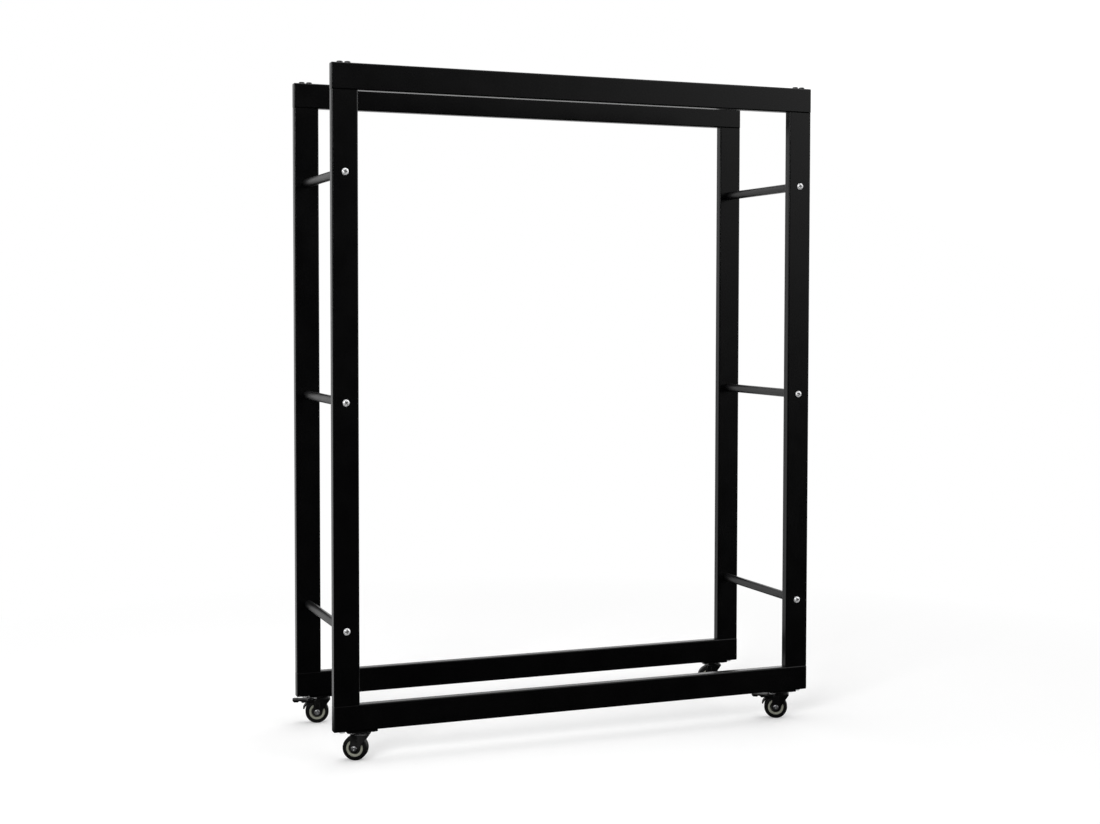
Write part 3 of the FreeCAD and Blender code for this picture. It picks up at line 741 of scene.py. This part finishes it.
def draw_tread_side():
    # Side of the tread: an upright edge at the pin, drawn out backwards along the outline
    outline = pedal_outline()
    _, low, high = outline[0]
    tread = start_piece("pedal", bpy.ops.mesh.primitive_plane_add, size=MM)
    bpy.ops.transform.rotate(value=QUARTER_TURN, orient_axis="X", center_override=ORIGIN)
    select_where(tread, "VERT", lambda place: place.x < 0)
    bpy.ops.mesh.delete(type="VERT")
    bpy.ops.mesh.select_all(action="SELECT")
    bpy.ops.transform.translate(value=(-MM / 2, -PEDAL_HALF_WIDTH * MM, 0.0))
    bpy.ops.transform.resize(value=(1.0, 1.0, high - low), center_override=ORIGIN)
    bpy.ops.transform.translate(value=(0.0, 0.0, (high + low) / 2 * MM))
    for (here, low, high), (there, next_low, next_high) in zip(outline, outline[1:]):
        middle = (next_low + next_high) / 2
        draw_out(((here - there) * MM, 0.0, (middle - (low + high) / 2) * MM))
        bpy.ops.transform.resize(
            value=(1.0, 1.0, (next_high - next_low) / (high - low)), center_override=(0.0, 0.0, middle * MM))
    return tread


def make_pedal_tread():
    # The side drawn across in slices, lower towards both edges of the tread
    tread = draw_tread_side()
    bpy.ops.mesh.select_all(action="SELECT")
    size = 1.0 - PEDAL_CROWN
    bpy.ops.transform.resize(value=(1.0, 1.0, size), center_override=ORIGIN)
    for step in range(1, PEDAL_SLICES + 1):
        draw_out((0.0, 2 * PEDAL_HALF_WIDTH / PEDAL_SLICES * MM, 0.0))
        across = 2 * step / PEDAL_SLICES - 1
        next_size = 1.0 - PEDAL_CROWN * across ** PEDAL_CROWN_POWER
        bpy.ops.transform.resize(value=(1.0, 1.0, next_size / size), center_override=ORIGIN)
        size = next_size
    return end_piece(tread)


def make_tongue():
    # A flat bar spun part of the way round the tyre, drawn as when pressed and swung back to rest
    pin = Vector(joints["front_right_brake"]["pos_m"])
    reach = caster_turn("front_right").inverted() @ (pin - Vector(joints["front_right_roll"]["pos_m"]))
    tongue = start_piece("tongue", bpy.ops.mesh.primitive_plane_add, size=MM)
    bpy.ops.transform.resize(value=(TONGUE_THICKNESS, 2 * PEDAL_HALF_WIDTH, 1.0))
    bpy.ops.transform.translate(value=((TONGUE_INNER + TONGUE_THICKNESS / 2) * MM, 0.0, 0.0))
    bpy.ops.mesh.spin(steps=TONGUE_STEPS, angle=TONGUE_ARC, center=ORIGIN, axis=(0.0, 1.0, 0.0))
    end_piece(tongue)
    start = math.atan2(reach.z, reach.x)
    tongue.data.transform(
        Matrix.Rotation(BRAKE_TRAVEL, 4, "Y") @ Matrix.Translation(-reach) @ Matrix.Rotation(-start, 4, "Y"))
    return tongue


def make_pedals():
    pedal = make_pedal_tread()
    round_tip(pedal)
    combine(pedal, make_tongue(), "UNION")
    combine(pedal, cross_rod("barrel", PEDAL_BARREL, PEDAL_HALF_WIDTH), "UNION")
    combine(pedal, cross_rod("bore", PEDAL_BORE, 2 * PEDAL_HALF_WIDTH), "DIFFERENCE")
    soften(pedal, PEDAL_EDGE)
    for corner in BRAKED_CORNERS:
        piece = place_copy(pedal, corner + "_pedal_pressing", joint_placement(corner, "_brake"))
        dress(piece, corner + "_brake_pedal", "pedal_black", corner + "_brake")
    bpy.data.objects.remove(pedal)


# Forks: sheet pressed to a U with a rib down each leg, and the lower race of the swivel on its crown

FORK_SHEET = 1.6
FORK_HALF_GAP = 9.3
FORK_NOSE = 12.5
FORK_CROWN_LOW = 39.5
FORK_CROWN_TOP = FORK_CROWN_LOW + FORK_SHEET
FORK_CROWN_HOLE = 8.7
FORK_END_RADIUS = 6.0
FORK_BEND = 1.25
FORK_BEND_SEGMENTS = 4
FORK_EDGE = 0.3
FORK_ARC_STEPS = 14
EAR_RADIUS = 4.0
RIB_HALF_FOOT = 4.4
RIB_SEAT_RADIUS = 5.2
RIB_HEIGHT = 0.8
RIB_ROUND = 0.6
RIB_ROUND_SEGMENTS = 4
RIB_ROOT = 0.3
RACE_TOP = 43.2
RACE_RADIUS = 7.0
RACE_GROOVE = 1.3
RACE_GROOVE_DEPTH = 0.97
RACE_GROOVE_STEPS = 4
BOSS_RADIUS = 9.85
BOSS_RECESS = 8.5
BORE_FIT = 0.02
KINGPIN_BORE = 3.06
# Half the width of the square that an outline starts from
START_HALF = 0.5
# Places closer together than this count as the same
SAME_PLACE = 0.02


def arc(centre, radius, first, last):
    # Points of X and Z round a centre, from one angle to the other
    points = []
    for step in range(FORK_ARC_STEPS + 1):
        angle = first + (last - first) * step / FORK_ARC_STEPS
        points.append((centre.x + radius * math.cos(angle), centre.z + radius * math.sin(angle)))
    return points


def draw_outline(name, points, level_y):
    # One corner of a square drawn out along an outline of X and Z, then filled
    sheet = start_piece(name, bpy.ops.mesh.primitive_plane_add, size=MM)
    select_where(sheet, "VERT", lambda place: place.x < 0 or place.y < 0)
    bpy.ops.mesh.delete(type="VERT")
    bpy.ops.mesh.select_all(action="SELECT")
    x, z = points[0]
    bpy.ops.transform.translate(value=((x - START_HALF) * MM, (level_y - START_HALF) * MM, z * MM))
    for (x, z), (next_x, next_z) in zip(points, points[1:]):
        draw_out(((next_x - x) * MM, 0.0, (next_z - z) * MM))
    bpy.ops.mesh.select_all(action="SELECT")
    bpy.ops.mesh.edge_face_add()
    return end_piece(sheet)


def draw_fork_sheets(axle, pin):
    # The flat pattern of one side: the leg, the crown's edge above it and the ear of the brake pin
    back = axle.x - FORK_END_RADIUS
    reach = Vector((FORK_NOSE - axle.x, FORK_CROWN_LOW - axle.z))
    slope = math.atan2(reach.y, reach.x) - math.acos(FORK_END_RADIUS / reach.length)
    leg = [(back, FORK_CROWN_LOW)] + arc(axle, FORK_END_RADIUS, math.pi, 2 * math.pi + slope)
    leg.append((FORK_NOSE, FORK_CROWN_LOW))
    if pin:
        leg.insert(1, (back, pin.z - EAR_RADIUS))
    crown = [
        (back, FORK_CROWN_LOW), (back, FORK_CROWN_TOP), (FORK_NOSE, FORK_CROWN_TOP),
        (FORK_NOSE, FORK_CROWN_LOW)]
    sheets = [
        draw_outline("fork_leg", leg, FORK_HALF_GAP), draw_outline("fork_crown", crown, FORK_HALF_GAP)]
    if pin:
        ear = [(back, FORK_CROWN_LOW), (back, FORK_CROWN_TOP)]
        ear += arc(pin, EAR_RADIUS, math.pi / 2, 3 * math.pi / 2) + [(back, pin.z - EAR_RADIUS)]
        sheets.append(draw_outline("fork_ear", ear, FORK_HALF_GAP))
    return gather("fork", sheets)


def press_fork(axle, pin):
    # The flat pattern given its thickness, its crown drawn to the middle and the other side mirrored
    fork = draw_fork_sheets(axle, pin)
    back = axle.x - FORK_END_RADIUS
    outside = FORK_HALF_GAP + FORK_SHEET
    open_piece(fork)
    clean_mesh()
    draw_out((0.0, FORK_SHEET * MM, 0.0))
    select_where(fork, "FACE", lambda place, normal: (
        place.z > FORK_CROWN_LOW and place.x > back and abs(place.y - FORK_HALF_GAP) < SAME_PLACE))
    draw_out((0.0, -FORK_HALF_GAP * MM, 0.0))
    bpy.ops.mesh.delete(type="ONLY_FACE")
    select_where(fork, "EDGE", lambda first, last: min(first.y, last.y) > outside - SAME_PLACE and (
        min(first.z, last.z) > FORK_CROWN_TOP - SAME_PLACE or min(first.x, last.x) < back - SAME_PLACE))
    bpy.ops.mesh.bevel(offset=FORK_BEND * MM, segments=FORK_BEND_SEGMENTS, affect="EDGES")
    end_piece(fork)
    apply_modifier(fork, "MIRROR", use_axis=(False, True, False), merge_threshold=MERGE_DISTANCE)
    soften(fork, FORK_EDGE)
    return fork


def make_rib(axle):
    # Raised rib with a round seat for the axle's head, rooted a little inside the leg
    rise = math.asin(math.sqrt(RIB_SEAT_RADIUS ** 2 - RIB_HALF_FOOT ** 2) / RIB_SEAT_RADIUS)
    points = [(axle.x - RIB_HALF_FOOT, FORK_CROWN_LOW)]
    points += arc(axle, RIB_SEAT_RADIUS, math.pi - rise, 2 * math.pi + rise)
    points.append((axle.x + RIB_HALF_FOOT, FORK_CROWN_LOW))
    rib = draw_outline("fork_rib", points, FORK_HALF_GAP + FORK_SHEET - RIB_ROOT)
    open_piece(rib)
    draw_out((0.0, (RIB_ROOT + RIB_HEIGHT) * MM, 0.0))
    bpy.ops.mesh.select_all(action="SELECT")
    bpy.ops.mesh.normals_make_consistent(inside=False)
    select_where(rib, "FACE", lambda place, normal: normal.y > FACING)
    bpy.ops.mesh.region_to_loop()
    bpy.ops.mesh.bevel(offset=RIB_ROUND * MM, segments=RIB_ROUND_SEGMENTS, affect="EDGES")
    return end_piece(rib)


def make_race():
    # Boss on the crown, grooved for the swivel balls and bored for the kingpin
    foot = FORK_CROWN_LOW + RIB_ROOT
    groove = []
    for step in range(RACE_GROOVE_STEPS + 1):
        angle = math.pi * step / RACE_GROOVE_STEPS
        groove.append((
            RACE_RADIUS + RACE_GROOVE * math.cos(angle), RACE_TOP - RACE_GROOVE_DEPTH * math.sin(angle)))
    return turn("fork_race", [
        (BOSS_RADIUS, foot), (BOSS_RADIUS, RACE_TOP), *groove, (KINGPIN_BORE, RACE_TOP),
        (KINGPIN_BORE, RACE_TOP - FORK_SHEET), (BOSS_RECESS, RACE_TOP - FORK_SHEET), (BOSS_RECESS, foot),
    ], SMALL_ROUND_SIDES, hollow=True)


def make_fork(axle, pin):
    fork = press_fork(axle, pin)
    rib = make_rib(axle)
    line = Vector((axle.x, 0.0, 0.0)) * MM
    other_side = Matrix.Translation(line) @ Matrix.Rotation(math.pi, 4, "Z") @ Matrix.Translation(-line)
    combine(fork, place_copy(rib, "fork_rib_copy", other_side), "UNION")
    combine(fork, rib, "UNION")
    hole = turn("crown_hole", [
        (FORK_CROWN_HOLE, FORK_CROWN_LOW - FORK_SHEET), (FORK_CROWN_HOLE, RACE_TOP)], SMALL_ROUND_SIDES)
    combine(fork, hole, "DIFFERENCE")
    combine(fork, make_race(), "UNION")
    bores = [(axle, AXLE_RADIUS)] + ([(pin, PEDAL_BORE)] if pin else [])
    for place, radius in bores:
        bore = cross_rod("fork_bore", radius + BORE_FIT, 2 * AXLE_GRIP)
        bore.data.transform(Matrix.Translation(Vector((place.x, 0.0, place.z)) * MM))
        combine(fork, bore, "DIFFERENCE")
    smooth(fork)
    return fork


def make_forks():
    for corner in CORNERS:
        axle = caster_point(corner, "_roll")
        pin = caster_point(corner, "_brake") if corner in BRAKED_CORNERS else None
        fork = make_fork(axle, pin)
        fork.name = corner + "_fork_pressing"
        fork.data.name = fork.name
        fork.data.transform(caster_placement(corner))
        dress(fork, corner + "_fork", "caster_black", corner + "_caster")


make_rung_screws()
make_rail_caps()
make_wheels()
make_pedals()
make_forks()


# Studio: pale floor, soft light from above and from the left, and a room that is dark in front

FLOOR_SIZE = 30.0
FLOOR_GREY = (0.82, 0.82, 0.82, 1.0)
FLOOR_LIFT = 0.22
# Ramps: from, to, and the strengths they give where these aren't 0 and 1
FLOOR_FADE = (0.6, 1.5)
MIRROR_BEHIND = (0.03, 0.25, 0.02, 0.8)
# Painted reflection: a glowing spot on the floor beside the front left caster, seen only in reflections
MIRROR_PATCH_PLACE = (-0.46, -0.215, 0.0)
MIRROR_PATCH = (0.11, 0.05, 0.0, 0.35)
ROOM_BEHIND = (-0.5, 0.2, 0.03, 0.95)
WINDOW_RIGHT = (0.2, 0.75)
WINDOW_ABOVE = (-0.17, 0.4)
WINDOW_SHARPNESS = 2.0
WINDOW_GAIN = 15.0
WINDOW_LIMIT = 2.2
ROOM_SOFT_CUT = 0.5
SOFTBOXES = {
    "top_softbox": {"place": (-0.2, 0.2, 2.8), "target": ORIGIN, "size": (2.4, 1.8), "power": 26.0},
    "left_softbox": {
        "place": (-2.4, -2.6, 2.0), "target": (0.0, 0.0, 0.4), "size": (1.6, 1.6), "power": 75.0},
}
CAMERA_SENSOR = 36.0
CAMERA_LENS = 54.055
CAMERA_SHIFT = -0.03
CAMERA_PLACE = (-1.0031, -2.5292, 0.6802)
CAMERA_YAW = math.radians(21.502)
CAMERA_PITCH = math.radians(-2.388)
CAMERA_ROLL = math.radians(0.088)


def seen_floor(tree, coords, rays):
    # Paint that keeps the shadow, lifted a little for the camera, and plain white far away
    lift = calculate(tree, "MULTIPLY", rays["Is Camera Ray"], FLOOR_LIFT)
    paint = add_node(tree, "ShaderNodeBsdfDiffuse", {"Color": FLOOR_GREY})
    glow = add_node(tree, "ShaderNodeEmission", {"Color": WHITE, "Strength": lift})
    near = add_node(tree, "ShaderNodeAddShader", {0: paint.outputs[0], 1: glow.outputs[0]})
    far = add_node(tree, "ShaderNodeEmission", {"Color": WHITE, "Strength": 1.0})
    distance = add_node(tree, "ShaderNodeVectorMath", {0: coords}, operation="LENGTH").outputs["Value"]
    fade = calculate(tree, "MULTIPLY", ramp(tree, distance, *FLOOR_FADE), rays["Is Camera Ray"])
    return mix_shaders(tree, fade, near.outputs[0], far.outputs[0])


def mirrored_floor(tree, coords):
    # What glossy pieces show of the floor: pale behind the rack, and a painted reflection beside the front
    # left caster, a glowing spot seen only in reflections that puts a painted glint on that caster's fork
    place = add_node(tree, "ShaderNodeSeparateXYZ", {0: coords}).outputs
    behind = ramp(tree, place["Y"], *MIRROR_BEHIND)
    aside = add_node(tree, "ShaderNodeVectorMath", {0: coords, 1: MIRROR_PATCH_PLACE}, operation="DISTANCE")
    # Painted reflection: a glowing spot on the floor, seen only by glossy rays, for the glint on the front
    # left fork
    patch = ramp(tree, aside.outputs["Value"], *MIRROR_PATCH)
    strength = calculate(tree, "MAXIMUM", behind, patch)
    return add_node(tree, "ShaderNodeEmission", {"Color": WHITE, "Strength": strength}).outputs[0]


def make_floor():
    bpy.ops.object.select_all(action="DESELECT")
    bpy.ops.mesh.primitive_plane_add(size=FLOOR_SIZE)
    floor = bpy.context.object
    floor.name = "studio_floor"
    material = bpy.data.materials.new("studio_floor_paint")
    material.use_nodes = True
    tree = material.node_tree
    tree.nodes.clear()
    coords = add_node(tree, "ShaderNodeTexCoord").outputs["Object"]
    rays = add_node(tree, "ShaderNodeLightPath").outputs
    glossy = calculate(tree, "MAXIMUM", rays["Is Glossy Ray"], rays["Is Transmission Ray"])
    surface = mix_shaders(tree, glossy, seen_floor(tree, coords, rays), mirrored_floor(tree, coords))
    add_node(tree, "ShaderNodeOutputMaterial", {"Surface": surface})
    floor.data.materials.append(material)


def make_room():
    # Bright behind the rack and in a window above on the right, white for the camera, dark in front
    world = bpy.data.worlds.new("studio_room")
    scene.world = world
    world.use_nodes = True
    tree = world.node_tree
    tree.nodes.clear()
    coords = add_node(tree, "ShaderNodeTexCoord").outputs["Generated"]
    way = add_node(tree, "ShaderNodeSeparateXYZ", {0: coords}).outputs
    rays = add_node(tree, "ShaderNodeLightPath").outputs
    behind = ramp(tree, way["Y"], *ROOM_BEHIND)
    right = ramp(tree, way["X"], *WINDOW_RIGHT)
    above = ramp(tree, way["Z"], *WINDOW_ABOVE)
    opening = calculate(tree, "POWER", calculate(tree, "MULTIPLY", right, above), WINDOW_SHARPNESS)
    window = calculate(tree, "MINIMUM", calculate(tree, "MULTIPLY", opening, WINDOW_GAIN), WINDOW_LIMIT)
    level = calculate(tree, "MAXIMUM", behind, window)
    cut = calculate(tree, "MULTIPLY", rays["Is Diffuse Ray"], ROOM_SOFT_CUT)
    lit = calculate(tree, "MULTIPLY", level, calculate(tree, "SUBTRACT", 1.0, cut))
    seen = calculate(tree, "MAXIMUM", rays["Is Camera Ray"], rays["Is Transmission Ray"])
    strength = calculate(tree, "MAXIMUM", lit, seen)
    glow = add_node(tree, "ShaderNodeBackground", {"Color": WHITE, "Strength": strength})
    add_node(tree, "ShaderNodeOutputWorld", {"Surface": glow.outputs[0]})


def add_softbox(name, place, target, size, power):
    lamp = bpy.data.lights.new(name, "AREA")
    lamp.shape = "RECTANGLE"
    lamp.size, lamp.size_y = size
    lamp.energy = power
    holder = bpy.data.objects.new(name, lamp)
    scene.collection.objects.link(holder)
    holder.visible_camera = False
    holder.location = place
    holder.rotation_euler = (Vector(target) - Vector(place)).to_track_quat("-Z", "Y").to_euler()


def set_camera():
    # Lens, place and direction of the photograph, taken from the tubes' edges
    lens = bpy.data.cameras.new("camera")
    lens.sensor_width = CAMERA_SENSOR
    lens.lens = CAMERA_LENS
    lens.shift_y = CAMERA_SHIFT
    camera = bpy.data.objects.new("camera", lens)
    scene.collection.objects.link(camera)
    aim = (
        Matrix.Rotation(-CAMERA_YAW, 4, "Z") @ Matrix.Rotation(QUARTER_TURN + CAMERA_PITCH, 4, "X")
        @ Matrix.Rotation(CAMERA_ROLL, 4, "Z"))
    camera.matrix_world = Matrix.Translation(CAMERA_PLACE) @ aim
    scene.camera = camera


make_floor()
make_room()
for name, settings in SOFTBOXES.items():
    add_softbox(name, **settings)
set_camera()
scene.view_settings.view_transform = "Standard"
